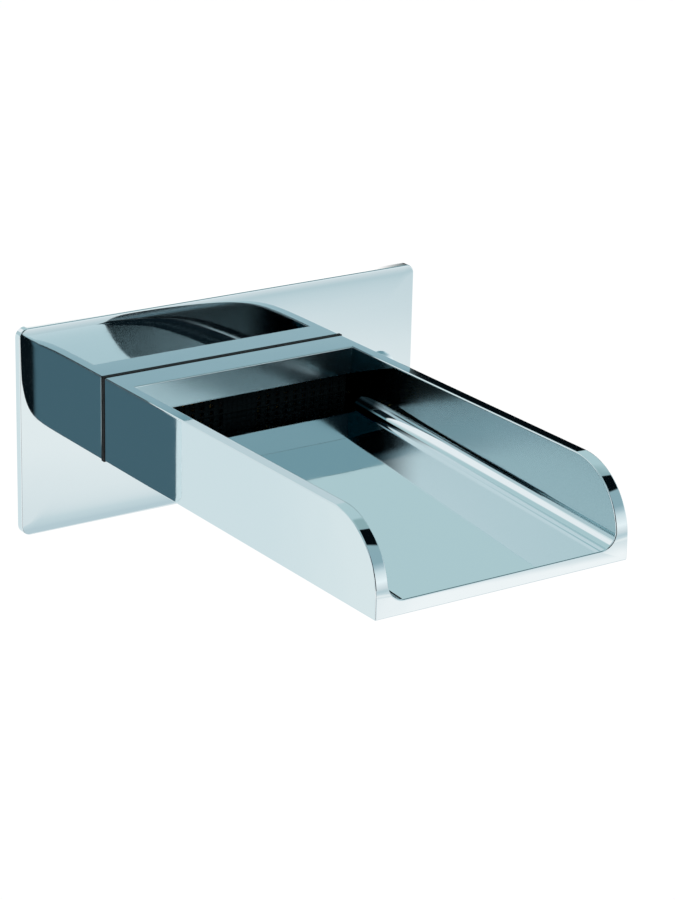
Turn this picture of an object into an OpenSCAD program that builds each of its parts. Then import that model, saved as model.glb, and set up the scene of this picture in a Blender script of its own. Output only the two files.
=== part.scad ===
// Waterfall bath spout for a wall: an open trough of plated brass with a water
// chamber at its root, a rectangular wall plate and a threaded inlet tail.
// X runs to the right, Y into the wall and Z up. The origin is on the wall's
// surface, on the inlet's axis, in the middle of the plate's back.

/* [Trough] */
// Width over the side walls
body_w = 100; // [85:1:140]
// Height of the side walls
body_h = 31; // [29:0.5:45]
// Length from the rear face to the lip
body_l = 168; // [120:1:220]
// Thickness of each side wall
wall_t = 4.5; // [3.5:0.1:6]
// Thickness of the front edge under the lip
lip_h = 5.1; // [4:0.1:7]
// Radius of the fillet between the floor and a side wall
foot_r = 6; // [2:0.5:6.5]
// Distance in front of the bridge where that fillet starts
foot_start = 9; // [5:0.5:15]
// Radius of each side wall's upper front corner
nose_r = 24; // [10:1:26]
// Thickness of the floor over the cored space
floor_t = 3; // [2.5:0.1:3.8]
// Solid length of the floor behind the lip
lip_solid_l = 28; // [20:1:40]

/* [Bridge and slot] */
// Length of the bridge, from the rear face
bridge_l = 13.3; // [12.7:0.1:20]
// Height of the bridge's front face
bridge_h = 10.2; // [8:0.1:12]
// Thickness of the wall in front of the chamber
bridge_t = 3; // [2:0.1:3.5]
// Height of the slot that the water leaves by
slot_h = 7.9; // [6.8:0.1:10]

/* [Water chamber] */
// Thickness of the chamber's roof and base
chamber_t = 3; // [2.4:0.1:3.5]
// Radius of the chamber's corners
chamber_r = 2; // [1:0.1:3]
// Width of the ledge that the rear cover seats on
ledge_w = 1.2; // [0.8:0.1:1.6]
// Thickness of the rear cover
cover_t = 2.5; // [2:0.1:3]
// Thickness of the rear cover's gasket
cover_seal_t = 0.8; // [0.5:0.1:1]
// Distance of each assembly screw from the chamber's side and roof
screw_inset = 3.5; // [3:0.1:4.5]

/* [Screens] */
// Thickness of the diffuser plate
diffuser_t = 0.8; // [0.5:0.1:1.2]
// Diameter of the diffuser's holes
diffuser_d = 2; // [1.4:0.1:2.2]
// Height between the rows of the diffuser's holes
diffuser_pitch = 2.6; // [2.5:0.1:4]
// Distance between the columns of those holes
column_pitch = 3.9; // [2.8:0.1:6]
// Half width of the blank stretch opposite the inlet
blank_r = 8; // [5:0.5:15]
// Thickness of the mesh screen
mesh_t = 0.6; // [0.4:0.1:0.8]
// Distance between the mesh screen's wires
mesh_pitch = 2; // [1.8:0.1:4]
// Width of the mesh screen's wires
wire_w = 0.5; // [0.3:0.1:0.8]
// Wall of the plastic frame that holds the screens
frame_wall = 1.4; // [1:0.1:1.5]

/* [Underside cover] */
// Thickness of the underside cover
under_t = 2; // [1.5:0.1:2.5]
// Width of the ledge that the underside cover seats on
under_ledge = 3; // [2:0.5:5]

/* [Joint gasket] */
// Thickness of the rubber between the trough and the plate
joint_t = 1; // [0.6:0.1:2]
// How far the rubber stands out round the trough
joint_proud = 0.3; // [0.2:0.1:1]

/* [Wall plate] */
// How far the plate reaches past each side of the trough
plate_side = 32.5; // [30:0.5:60]
// How far the plate reaches above and below the trough
plate_rise = 22.3; // [14:0.1:40]
// Thickness of the plate
plate_t = 3.2; // [3.1:0.1:5]
// Thickness of the plate at its rim
plate_rim_t = 2.9; // [2.6:0.1:3]
// Width of the zone along the rim where the face falls to it
plate_fall = 5; // [3:0.5:8]
// Radius of the plate's corners
plate_corner_r = 3.5; // [2:0.5:10]
// Radius of the plate's hole for the tail
plate_bore_r = 14; // [13.4:0.1:14.5]
// Distance of the foam seal from the plate's rim
seal_inset = 5; // [3:0.5:7]
// Width of the foam seal
seal_w = 5; // [3:0.5:6]
// Thickness of the foam seal
seal_t = 1.5; // [1:0.1:2]
// Radius of the foam seal's outer corners
seal_corner_r = 2.5; // [1:0.5:4]

/* [Inlet tail] */
// Outside radius of the tail's thread, for G 1/2
tail_r = 10.478; // [9:0.001:11.5]
// Length of the threaded tail behind the wall's surface
tail_l = 30; // [20:1:60]
// Radius of the tail's water way
tail_bore_r = 7; // [5:0.5:7.5]
// Outside radius of the tail's neck, which passes the rear cover
neck_r = 9; // [8.8:0.1:9.4]
// Radius of the tail's shoulder
shoulder_r = 13; // [12.6:0.1:13.3]
// Thickness of the tail's shoulder
shoulder_t = 2.5; // [2:0.1:3.5]
// Depth of the thread relief behind the shoulder
relief_d = 0.9; // [0.5:0.1:1.5]
// Width across the flats of the nut on the tail's neck
nut_af = 21; // [20:0.5:22]
// Thickness of the nut on the tail's neck
nut_t = 2.5; // [2:0.1:2.8]
// How far the neck stands out past its nut
neck_over = 0.5; // [0.3:0.1:0.7]
// Radius of the O-ring's section
o_ring_r = 0.65; // [0.5:0.05:0.8]
// Thickness of the strainer disc
strainer_t = 0.5; // [0.3:0.1:1]
// Distance between the strainer's wires
strainer_pitch = 1.6; // [1.2:0.1:2.4]
// Width of the strainer's wires
strainer_wire_w = 0.4; // [0.3:0.1:0.6]
// Thickness of the rubber ring that holds the strainer
strainer_ring_t = 3; // [2:0.1:5]
// Width of the rubber ring's section
strainer_ring_w = 1.4; // [1:0.1:2]
// Depth of the tail's strainer seat beyond its water way
strainer_seat = 1.3; // [1:0.1:1.8]

/* [Assembly screws] */
// Diameter of the four assembly screws
screw_d = 4; // [3:0.5:4.5]
// Length of the four assembly screws
screw_l = 14; // [12:0.5:14.5]
// Diameter of their heads
screw_head_d = 8; // [7:0.1:8.4]
// Depth of their heads
screw_head_t = 2.3; // [1.8:0.1:2.6]
// Length of their points
screw_point = 0.8; // [0.4:0.1:1.5]
// Depth of their tapped holes past the points
screw_end_gap = 0.6; // [0.3:0.1:1]
// Width across the flats of the screws' hexagon sockets
socket_w = 2.5; // [2:0.5:2.5]
// Depth of the screws' hexagon sockets
socket_t = 1.3; // [1:0.1:1.5]

/* [Plate screw] */
// Distance of the plate screw from the plate's right edge
plate_screw_inset = 14.7; // [14:0.1:17]
// Diameter of the plate screw
plate_screw_d = 4; // [3:0.5:4.5]
// Length of the plate screw
plate_screw_l = 40; // [30:1:60]
// Diameter of the plate screw's head
plate_screw_head_d = 8; // [7:0.5:8.5]
// Length of the plate screw's point
plate_screw_point = 5; // [3:0.5:8]
// Diameter of the wall plug
plug_d = 6; // [5.5:0.5:8]
// Length of the wall plug
plug_l = 30; // [28:1:40]
// Width of the wall plug's slits
plug_slit = 0.6; // [0.4:0.1:0.7]
// Length of the wall plug's slits
plug_slit_l = 24; // [10:1:26]
// Radius of the cup washer
cup_r = 5.1; // [4.8:0.1:5.4]
// Thickness of the cup washer
cup_t = 2; // [1.8:0.1:2.2]
// Wall of the cap round the cup washer
cap_wall = 1.05; // [0.8:0.05:1.5]
// Height of the cap's straight side
cap_side = 1.8; // [1.6:0.1:2.4]
// Height of the cap's dome above its side
cap_dome = 1.8; // [1.2:0.1:3]

/* [Fits] */
// Clearance of seated pieces and of screws in their threads
fit_gap = 0.05; // [0.03:0.01:0.1]
// Clearance of screws and pipes in plain holes
pass_gap = 0.2; // [0.1:0.05:0.3]

/* [Hidden] */

$fn = 96;
eps = 0.01;
// How far a cutting shape reaches past what it cuts
past = 20;
// How far each screw boss laps into the chamber's corner
boss_lap = 0.1;

chrome = [0.80, 0.84, 0.86];
brass = [0.78, 0.62, 0.32];
steel = [0.62, 0.65, 0.68];
rubber = [0.07, 0.07, 0.08];
foam = [0.20, 0.21, 0.22];
nylon = [0.90, 0.90, 0.88];
acetal = [0.04, 0.04, 0.05];

// Places along Y, from the wall to the lip
plate_y = -plate_t;
rear_y = plate_y - joint_t;
cover_y = rear_y - cover_t;
seat_y = cover_y - cover_seal_t;
bridge_y = rear_y - bridge_l;
mesh_y = bridge_y + bridge_t;
diffuser_y = mesh_y + mesh_t;
frame_y = diffuser_y + diffuser_t;
lip_y = rear_y - body_l;

// The plate reaches past the trough on every side
plate_w = body_w + 2 * plate_side;
plate_h = body_h + 2 * plate_rise;

// Heights
top_z = body_h / 2;
base_z = -body_h / 2;
slot_top_z = top_z - bridge_h;
floor_z = slot_top_z - slot_h;
floor_run = body_l - bridge_l;
floor_fall = floor_z - (base_z + lip_h);
slope = atan(floor_fall / floor_run);

// The trough and the chamber are equally wide
trough_w = body_w - 2 * wall_t;
chamber_h = body_h - 2 * chamber_t;
cover_w = trough_w + 2 * ledge_w;
cover_h = chamber_h + 2 * ledge_w;
cover_r = chamber_r + ledge_w;

// Assembly screws and the bosses that they bite in
screw_x = trough_w / 2 - screw_inset;
screw_z = chamber_h / 2 - screw_inset;
boss_r = screw_inset + boss_lap;
screw_pass_r = screw_d / 2 + pass_gap;

// Cored space under the floor
core_back_y = bridge_y - under_ledge;
core_front_y = lip_y + lip_solid_l;
core_w = trough_w - 2 * under_ledge;
core_base_z = base_z + under_t;
core_back_z = floor_z - floor_t - under_ledge * tan(slope);
core_front_z = floor_z - floor_t - (bridge_y - core_front_y) * tan(slope);

// Plate screw, cup washer and cap
plate_screw_x = plate_w / 2 - plate_screw_inset;
cup_front_y = plate_y - cup_t;
cap_r = cup_r + cap_wall;
cap_dome_r = (cap_r * cap_r + cap_dome * cap_dome) / (2 * cap_dome);
countersink_r = screw_head_d / 2 + fit_gap;

// Tail
neck_end_y = cover_y - nut_t - neck_over;
strainer_r = tail_bore_r + strainer_seat;
strainer_y = tail_l - strainer_ring_t - strainer_t;
o_ring_path_r = neck_r + o_ring_r + fit_gap;

// A drawing in X and Z, made solid between two places along Y
module slab(from_y, to_y) {
    translate([0, to_y, 0]) rotate([90, 0, 0]) linear_extrude(to_y - from_y) children();
}

// A drawing in Y and Z, made solid over a width along X
module across(width) {
    rotate([90, 0, 90]) linear_extrude(width, center = true) children();
}

// A cylinder along Y at a place in X and Z
module rod(r, from_y, to_y, x = 0, z = 0) {
    translate([x, to_y, z]) rotate([90, 0, 0]) cylinder(r = r, h = to_y - from_y);
}

// A cone along Y with a radius at each end
module taper(r_from, r_to, from_y, to_y, x = 0, z = 0) {
    translate([x, to_y, z]) rotate([90, 0, 0]) cylinder(r1 = r_to, r2 = r_from, h = to_y - from_y);
}

module round_rect(w, h, r) {
    square([w - 2 * r, h], center = true);
    square([w, h - 2 * r], center = true);
    for (x = [-1, 1], z = [-1, 1])
        translate([x * (w / 2 - r), z * (h / 2 - r)]) circle(r);
}

module at_screws() {
    for (x = [-1, 1], z = [-1, 1])
        translate([x * screw_x, 0, z * screw_z]) children();
}

module at_screws_flat() {
    for (q = [0 : 3])
        translate([(q == 0 || q == 3 ? 1 : -1) * screw_x, (q < 2 ? 1 : -1) * screw_z])
            rotate(90 * q) children();
}

// Outline of the chamber less its four corner bosses, drawn in by an inset
module chamber_outline(inset) {
    r = boss_r + inset;
    difference() {
        round_rect(trough_w - 2 * inset, chamber_h - 2 * inset, chamber_r);
        at_screws_flat() {
            circle(r);
            translate([-r, 0]) square([2 * r, 2 * r]);
            translate([0, -r]) square([2 * r, 2 * r]);
        }
    }
}

// Cross-section of the water's way: square above, with a fillet at each foot
module trough_section(height) {
    translate([-trough_w / 2, foot_r]) square([trough_w, height - foot_r]);
    translate([foot_r - trough_w / 2, 0]) square([trough_w - 2 * foot_r, height]);
    intersection() {
        for (x = [-1, 1])
            translate([x * (trough_w / 2 - foot_r), foot_r]) circle(foot_r);
        translate([-trough_w / 2, 0]) square([trough_w, height]);
    }
}

// Side view of the trough, in Y and Z
module body_side() {
    translate([lip_y + nose_r, base_z]) square([body_l - nose_r, body_h]);
    translate([lip_y, base_z]) square([body_l, body_h - nose_r]);
    translate([lip_y + nose_r, top_z - nose_r]) intersection() {
        circle(nose_r, $fn = 180);
        translate([-nose_r, 0]) square(nose_r);
    }
}

// The water's way down the sloping floor, from the slot under the bridge to the lip
module channel() {
    intersection() {
        translate([0, bridge_y, floor_z]) rotate([slope, 0, 0]) {
            slab(-body_l - past, 0) trough_section(body_h + past);
            slab(-foot_start, bridge_l)
                translate([-trough_w / 2, 0]) square([trough_w, body_h + past]);
        }
        union() {
            translate([-trough_w, lip_y - past, base_z])
                cube([2 * trough_w, floor_run + past, body_h + past]);
            translate([-trough_w, bridge_y - foot_start, base_z])
                cube([2 * trough_w, foot_start + bridge_t + eps, slot_top_z - base_z]);
        }
    }
}

// The chamber from the mesh's seat back to the rear face, less its four bosses
module chamber() {
    slab(mesh_y, seat_y + eps) chamber_outline(0);
    slab(seat_y, rear_y + eps) round_rect(cover_w, cover_h, cover_r);
}

// Side view of the cored space under the floor
module core_side() {
    polygon([
        [core_back_y, core_base_z - eps], [core_back_y, core_back_z],
        [core_front_y, core_front_z], [core_front_y, core_base_z - eps]
    ]);
}

module underside_rebate(gap, below) {
    translate([gap - trough_w / 2, core_front_y - under_ledge + gap, base_z - below])
        cube([
            trough_w - 2 * gap,
            core_back_y - core_front_y + 2 * (under_ledge - gap),
            under_t + below
        ]);
}

module spout_body() {
    color(chrome) difference() {
        across(body_w) body_side();
        channel();
        chamber();
        across(core_w) core_side();
        underside_rebate(0, eps);
        at_screws() rod(screw_d / 2 + fit_gap, -screw_l - screw_end_gap, rear_y);
    }
}

module underside_cover() {
    color(chrome) underside_rebate(fit_gap, 0);
}

module rear_cover() {
    color(brass) difference() {
        slab(cover_y, rear_y)
            round_rect(cover_w - 2 * fit_gap, cover_h - 2 * fit_gap, cover_r - fit_gap);
        rod(neck_r + fit_gap, cover_y - eps, rear_y + eps);
        at_screws() rod(screw_pass_r, cover_y - eps, rear_y + eps);
        rod(o_ring_path_r + o_ring_r + fit_gap, rear_y - 2 * o_ring_r, rear_y + eps);
    }
}

// Hexagon of the tail's nut, wider by a gap on every side
module nut_hexagon(gap) {
    circle((nut_af / 2 + gap) / cos(30), $fn = 6);
}

module cover_gasket() {
    color(rubber) slab(seat_y, cover_y) difference() {
        round_rect(cover_w - 2 * fit_gap, cover_h - 2 * fit_gap, cover_r - fit_gap);
        chamber_outline(fit_gap + frame_wall);
        nut_hexagon(pass_gap);
        at_screws_flat() circle(screw_pass_r);
    }
}

module flow_frame() {
    color(acetal) slab(frame_y, seat_y) difference() {
        chamber_outline(fit_gap);
        chamber_outline(fit_gap + frame_wall);
        nut_hexagon(pass_gap);
    }
}

module diffuser_plate() {
    columns = floor((trough_w / 2 - diffuser_d - blank_r) / column_pitch);
    rows = floor((slot_h - diffuser_d) / diffuser_pitch);
    mid_z = floor_z + slot_h / 2;
    color(acetal) difference() {
        slab(diffuser_y, frame_y) chamber_outline(fit_gap);
        for (side = [-1, 1], i = [0 : columns], k = [0 : rows])
            rod(diffuser_d / 2, diffuser_y - eps, frame_y + eps,
                side * (blank_r + i * column_pitch),
                mid_z + (k - rows / 2) * diffuser_pitch);
    }
}

// Square gaps between woven wires, centred, in a field of columns and rows within a reach
module mesh_gaps(columns, rows, pitch, gap_w, reach) {
    for (i = [0 : columns - 1], k = [0 : rows - 1]) {
        at = [i - (columns - 1) / 2, k - (rows - 1) / 2] * pitch;
        if (norm(at) < reach)
            translate(at) square(gap_w, center = true);
    }
}

module mesh_screen() {
    columns = floor(trough_w / mesh_pitch) - 1;
    rows = floor(slot_h / mesh_pitch);
    color(acetal) slab(mesh_y, diffuser_y) difference() {
        chamber_outline(fit_gap);
        translate([0, floor_z + slot_h / 2])
            mesh_gaps(columns, rows, mesh_pitch, mesh_pitch - wire_w, trough_w);
    }
}

module joint_gasket() {
    color(rubber) slab(rear_y, plate_y) difference() {
        round_rect(body_w + 2 * joint_proud, body_h + 2 * joint_proud, joint_proud);
        circle(plate_bore_r);
        at_screws_flat() circle(screw_pass_r);
    }
}

// Section of the plate: flat in the middle, falling a little to the rim at both ends
module plate_section(width) {
    flat = width / 2 - plate_fall;
    polygon([
        [-width / 2, 0], [-width / 2, -plate_rim_t], [-flat, -plate_t],
        [flat, -plate_t], [width / 2, -plate_rim_t], [width / 2, 0]
    ]);
}

module seal_ring(gap) {
    difference() {
        round_rect(plate_w - 2 * (seal_inset + gap), plate_h - 2 * (seal_inset + gap), seal_corner_r);
        round_rect(
            plate_w - 2 * (seal_inset + seal_w - gap),
            plate_h - 2 * (seal_inset + seal_w - gap),
            seal_corner_r / 2
        );
    }
}

module wall_plate() {
    color(chrome) difference() {
        intersection() {
            linear_extrude(plate_h, center = true) plate_section(plate_w);
            rotate([0, 90, 0]) linear_extrude(plate_w, center = true) plate_section(plate_h);
            slab(-2 * plate_t, plate_t) round_rect(plate_w, plate_h, plate_corner_r);
        }
        rod(plate_bore_r, plate_y - eps, eps);
        at_screws() {
            rod(screw_pass_r, plate_y - eps, eps);
            taper(screw_d / 2 + fit_gap, countersink_r, -screw_head_t, eps);
        }
        rod(plug_d / 2 + pass_gap, plate_y - eps, eps, plate_screw_x);
        slab(-seal_t, eps) seal_ring(0);
    }
}

module plate_seal() {
    color(foam) slab(-seal_t, 0) seal_ring(fit_gap);
}

module inlet_tail() {
    color(brass) difference() {
        union() {
            rod(neck_r, neck_end_y, rear_y);
            rod(shoulder_r, rear_y, rear_y + shoulder_t);
            rod(tail_r - relief_d, rear_y + shoulder_t, 0);
            rod(tail_r, 0, tail_l);
        }
        rod(tail_bore_r, neck_end_y - eps, tail_l + eps);
        rod(strainer_r, strainer_y, tail_l + eps);
    }
}

module tail_o_ring() {
    color(rubber) translate([0, rear_y - o_ring_r, 0]) rotate([90, 0, 0])
        rotate_extrude() translate([o_ring_path_r, 0]) circle(o_ring_r);
}

module tail_nut() {
    color(brass) difference() {
        slab(cover_y - nut_t, cover_y) nut_hexagon(0);
        rod(neck_r + fit_gap, cover_y - nut_t - eps, cover_y + eps);
    }
}

module strainer_mesh() {
    open_r = strainer_r - strainer_ring_w;
    rows = 2 * floor(open_r / strainer_pitch) + 1;
    gap_w = strainer_pitch - strainer_wire_w;
    color(steel) slab(strainer_y, strainer_y + strainer_t) difference() {
        circle(strainer_r - fit_gap);
        mesh_gaps(rows, rows, strainer_pitch, gap_w, open_r - gap_w / sqrt(2));
    }
}

module strainer_ring() {
    color(rubber) difference() {
        rod(strainer_r - fit_gap, strainer_y + strainer_t, tail_l);
        rod(strainer_r - strainer_ring_w, strainer_y, tail_l + eps);
    }
}

// A countersunk screw along Y, its head's face at Y 0 and its tip at -length
module countersunk(d, length, head_d, head_t, point) {
    difference() {
        union() {
            taper(d / 2, head_d / 2, -head_t, 0);
            rod(d / 2, point - length, -head_t);
            taper(d / 8, d / 2, -length, point - length);
        }
        translate([0, eps, 0]) rotate([90, 0, 0])
            cylinder(r = socket_w / 2 / cos(30), h = socket_t, $fn = 6);
    }
}

module assembly_screws() {
    color(steel) at_screws()
        countersunk(screw_d, screw_l, screw_head_d, screw_head_t, screw_point);
}

module plate_screw() {
    color(steel) translate([plate_screw_x, cup_front_y, 0]) rotate([0, 0, 180])
        countersunk(plate_screw_d, plate_screw_l, plate_screw_head_d, cup_t, plate_screw_point);
}

module wall_plug() {
    color(nylon) difference() {
        rod(plug_d / 2, 0, plug_l, plate_screw_x);
        rod(plate_screw_d / 2 + fit_gap, -eps, plug_l + eps, plate_screw_x);
        for (turn = [45, 135])
            translate([plate_screw_x, plug_l - plug_slit_l / 2 + eps, 0]) rotate([0, turn, 0])
                cube([plug_slit, plug_slit_l, 2 * plug_d], center = true);
    }
}

module cap_base() {
    color(nylon) difference() {
        rod(cup_r, cup_front_y, plate_y, plate_screw_x);
        rod(plate_screw_d / 2 + fit_gap, cup_front_y - eps, plate_y + eps, plate_screw_x);
        taper(plate_screw_head_d / 2 + fit_gap, plate_screw_d / 2 + fit_gap,
            cup_front_y - eps, plate_y, plate_screw_x);
    }
}

module screw_cap() {
    color(chrome) translate([plate_screw_x, plate_y, 0]) rotate([90, 0, 0]) difference() {
        rotate_extrude() {
            square([cap_r, cap_side]);
            intersection() {
                translate([0, cap_side + cap_dome - cap_dome_r]) circle(cap_dome_r, $fn = 180);
                translate([0, cap_side]) square([cap_r, cap_dome]);
            }
        }
        translate([0, 0, -eps]) cylinder(r = cup_r + fit_gap, h = cup_t + fit_gap + eps);
    }
}

spout_body();
underside_cover();
rear_cover();
cover_gasket();
flow_frame();
diffuser_plate();
mesh_screen();
joint_gasket();
wall_plate();
plate_seal();
inlet_tail();
tail_o_ring();
tail_nut();
strainer_mesh();
strainer_ring();
assembly_screws();
plate_screw();
wall_plug();
cap_base();
screw_cap();
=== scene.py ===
"""Looks of a waterfall bath spout: a chrome-plated trough on a rectangular wall plate."""
import math

import bmesh
import bpy
from mathutils import Matrix, Vector


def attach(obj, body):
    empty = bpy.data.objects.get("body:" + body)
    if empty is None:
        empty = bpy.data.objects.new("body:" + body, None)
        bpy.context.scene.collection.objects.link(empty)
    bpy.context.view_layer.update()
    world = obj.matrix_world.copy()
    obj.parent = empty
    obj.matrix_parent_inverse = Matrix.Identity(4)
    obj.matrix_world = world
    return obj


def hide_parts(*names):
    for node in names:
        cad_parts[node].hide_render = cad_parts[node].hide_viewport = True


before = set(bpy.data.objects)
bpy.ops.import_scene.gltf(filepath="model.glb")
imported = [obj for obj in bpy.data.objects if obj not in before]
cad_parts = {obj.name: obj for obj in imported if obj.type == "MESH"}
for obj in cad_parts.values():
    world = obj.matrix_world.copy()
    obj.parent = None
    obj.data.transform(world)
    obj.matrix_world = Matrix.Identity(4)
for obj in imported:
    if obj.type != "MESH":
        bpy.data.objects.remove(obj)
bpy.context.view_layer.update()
scene = bpy.context.scene
MM = 0.001


# Camera
# A long lens about a metre away, to the left of the spout and above it. Its place, turn and
# focal length were fitted to the straight edges in the photograph.
camera_data = bpy.data.cameras.new("camera")
camera_data.sensor_fit = "HORIZONTAL"
camera_data.sensor_width = 36
camera_data.lens = 158.28
camera_place = (-0.537219, -0.862802, 0.342454)
camera_heading, camera_dip, camera_roll = -34.338, 19.667, 1.319
camera = bpy.data.objects.new("camera", camera_data)
scene.collection.objects.link(camera)
camera.matrix_world = (
    Matrix.Translation(camera_place)
    @ Matrix.Rotation(math.radians(camera_heading), 4, "Z")
    @ Matrix.Rotation(math.radians(90 - camera_dip), 4, "X")
    @ Matrix.Rotation(math.radians(camera_roll), 4, "Z")
)
scene.camera = camera


# Trough
# Cast brass, ground and polished, then plated with nickel and chrome. The channel is open above,
# its floor falls to the lip, and the water enters by a slot under the bridge at the back.
def linear(hex_colour):
    """An sRGB hex colour as the linear colour that a shader takes."""
    parts = [int(hex_colour[i:i + 2], 16) / 255 for i in (1, 3, 5)]
    return [p / 12.92 if p <= 0.04045 else ((p + 0.055) / 1.055) ** 2.4 for p in parts] + [1.0]


def add(tree, kind, inputs=(), **settings):
    """Adds a node. An input given as a socket is linked, a node given as an input is linked by
    its first output, and any other value is set."""
    node = tree.nodes.new(kind)
    for name, value in settings.items():
        setattr(node, name, value)
    for key, value in dict(inputs).items():
        if isinstance(value, bpy.types.Node):
            value = value.outputs[0]
        if isinstance(value, bpy.types.NodeSocket):
            tree.links.new(value, node.inputs[key])
        else:
            node.inputs[key].default_value = value
    return node


def new_surface(name, base, metallic, roughness):
    """A material with one Principled shader, and its tree and Object coordinates."""
    material = bpy.data.materials.new(name)
    material.use_nodes = True
    tree = material.node_tree
    shader = tree.nodes["Principled BSDF"]
    shader.inputs["Base Color"].default_value = linear(base)
    shader.inputs["Metallic"].default_value = metallic
    shader.inputs["Roughness"].default_value = roughness
    place = add(tree, "ShaderNodeTexCoord").outputs["Object"]
    return material, tree, shader, place


CHROME = "#CDDFE3"


def chrome_plating(name, wave_mm, wave_height_mm, dullness=(0.018, 0.05)):
    """Bright chrome over polished nickel: mirror-like, with the slow waves that buffing leaves
    and a faint haze of fine wiping marks, which spreads its roughness over a small range."""
    material, tree, shader, place = new_surface(name, CHROME, 1.0, 0.03)
    haze = add(tree, "ShaderNodeTexNoise", {"Vector": place, "Scale": 1 / (9 * MM), "Detail": 3})
    gloss = add(tree, "ShaderNodeMapRange", {
        "Value": haze.outputs["Fac"], "From Min": 0.35, "From Max": 0.75,
        "To Min": dullness[0], "To Max": dullness[1]})
    tree.links.new(gloss.outputs["Result"], shader.inputs["Roughness"])
    waves = add(tree, "ShaderNodeTexNoise", {
        "Vector": place, "Scale": 1 / (wave_mm * MM), "Detail": 1, "Roughness": 0.3})
    bump = add(tree, "ShaderNodeBump", {
        "Height": waves.outputs["Fac"], "Strength": 1, "Distance": wave_height_mm * MM})
    tree.links.new(bump.outputs["Normal"], shader.inputs["Normal"])
    return material


def dull_plating(name):
    """Chrome on brass that was only milled: grey and satin, with the soft bands, about 11 mm
    apart and askew, that the cutter's passes leave."""
    material, tree, shader, place = new_surface(name, "#AEB6B8", 1.0, 0.38)
    marks = add(tree, "ShaderNodeTexWave", {
        "Vector": place, "Scale": 1 / (30 * MM), "Distortion": 1.5, "Detail": 2},
        bands_direction="DIAGONAL")
    bump = add(tree, "ShaderNodeBump", {
        "Height": marks.outputs["Fac"], "Strength": 0.25, "Distance": 0.03 * MM})
    tree.links.new(bump.outputs["Normal"], shader.inputs["Normal"])
    return material


def new_object(name, mesh):
    piece = bpy.data.objects.new(name, mesh)
    scene.collection.objects.link(piece)
    return piece


# Points closer than this, in metres, are one point
SAME_POINT = 1e-7


def loft(name, rings, joined=False):
    """A skin through rings of equally many points, in millimetres. Its ends are flat faces, or
    the last ring is joined to the first."""
    work = bmesh.new()
    loops = [[work.verts.new(Vector(point) * MM) for point in ring] for ring in rings]
    if joined:
        loops.append(loops[0])
    count = len(rings[0])
    for a, b in zip(loops, loops[1:]):
        for i in range(count):
            k = (i + 1) % count
            work.faces.new((a[i], a[k], b[k], b[i]))
    if not joined:
        work.faces.new(loops[0])
        work.faces.new(loops[-1])
    bmesh.ops.remove_doubles(work, verts=work.verts, dist=SAME_POINT)
    bmesh.ops.recalc_face_normals(work, faces=work.faces)
    mesh = bpy.data.meshes.new(name)
    work.to_mesh(mesh)
    work.free()
    return new_object(name, mesh)


def apply_modifiers(piece):
    """Makes the modified shape the piece's own mesh."""
    shown = piece.evaluated_get(bpy.context.evaluated_depsgraph_get())
    mesh = bpy.data.meshes.new_from_object(shown)
    piece.modifiers.clear()
    piece.data = mesh


def cut(piece, cutter):
    """Takes the cutter's shape out of the piece, and welds the new edges."""
    modifier = piece.modifiers.new("cut", "BOOLEAN")
    modifier.operation = "DIFFERENCE"
    modifier.solver = "EXACT"
    modifier.object = cutter
    apply_modifiers(piece)
    bpy.data.objects.remove(cutter)
    work = bmesh.new()
    work.from_mesh(piece.data)
    bmesh.ops.remove_doubles(work, verts=work.verts, dist=SAME_POINT)
    loose = [e for e in work.edges if not e.link_faces]
    bmesh.ops.delete(work, geom=loose, context="EDGES")
    work.to_mesh(piece.data)
    work.free()


def merge_flat(work, straight=math.radians(0.2)):
    """Joins faces that lie in one plane, where that doesn't close a ring round a hole, and takes
    out the points left in the middle of straight edges."""
    for edge in list(work.edges):
        if not (edge.is_valid and edge.is_manifold and edge.calc_face_angle() < straight):
            continue
        a, b = edge.link_faces
        shared = [e for e in a.edges if b in e.link_faces]
        ends = {v for e in shared for v in e.verts}
        if len(ends) == len(shared) + 1 and ends == set(a.verts) & set(b.verts):
            bmesh.utils.face_join((a, b))
    idle = []
    for v in work.verts:
        if len(v.link_edges) == 2:
            one, other = (e.other_vert(v).co - v.co for e in v.link_edges)
            if one.angle(-other, math.pi) < straight:
                idle.append(v)
    bmesh.ops.dissolve_verts(work, verts=idle)


def ease(piece, radius_mm, shows=lambda p: True, steps=4, sharp=30):
    """Rounds each sharp edge whose middle shows, as polishing does."""
    work = bmesh.new()
    work.from_mesh(piece.data)
    merge_flat(work)
    edges = [
        e for e in work.edges
        if e.is_manifold and e.calc_face_angle() > math.radians(sharp)
        and shows((e.verts[0].co + e.verts[1].co) / 2 / MM)
    ]
    bmesh.ops.bevel(
        work, geom=edges, offset=radius_mm * MM, offset_type="OFFSET", segments=steps,
        profile=0.5, affect="EDGES", clamp_overlap=False)
    work.to_mesh(piece.data)
    work.free()


def finish_piece(piece, slot, nodes, *materials, pick=lambda p, n: 0):
    """Shades the piece smooth up to its sharp edges, gives each face the material whose number
    is picked for its middle and normal, and puts the piece in the place of its CAD nodes."""
    mesh = piece.data
    mesh.shade_smooth()
    mesh.set_sharp_from_angle(angle=math.radians(35))
    mesh.materials.clear()
    for material in materials:
        mesh.materials.append(material)
    for face in mesh.polygons:
        face.material_index = int(pick(face.center / MM, face.normal))
    weighted = piece.modifiers.new("weighted", "WEIGHTED_NORMAL")
    weighted.keep_sharp = True
    apply_modifiers(piece)
    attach(piece, "root")
    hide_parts(*nodes)


def arc(centre, radius, start, end, steps):
    """Points on an arc, by its angles in degrees."""
    return [
        (centre[0] + radius * math.cos(math.radians(start + (end - start) * i / steps)),
         centre[1] + radius * math.sin(math.radians(start + (end - start) * i / steps)))
        for i in range(steps + 1)
    ]


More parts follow.
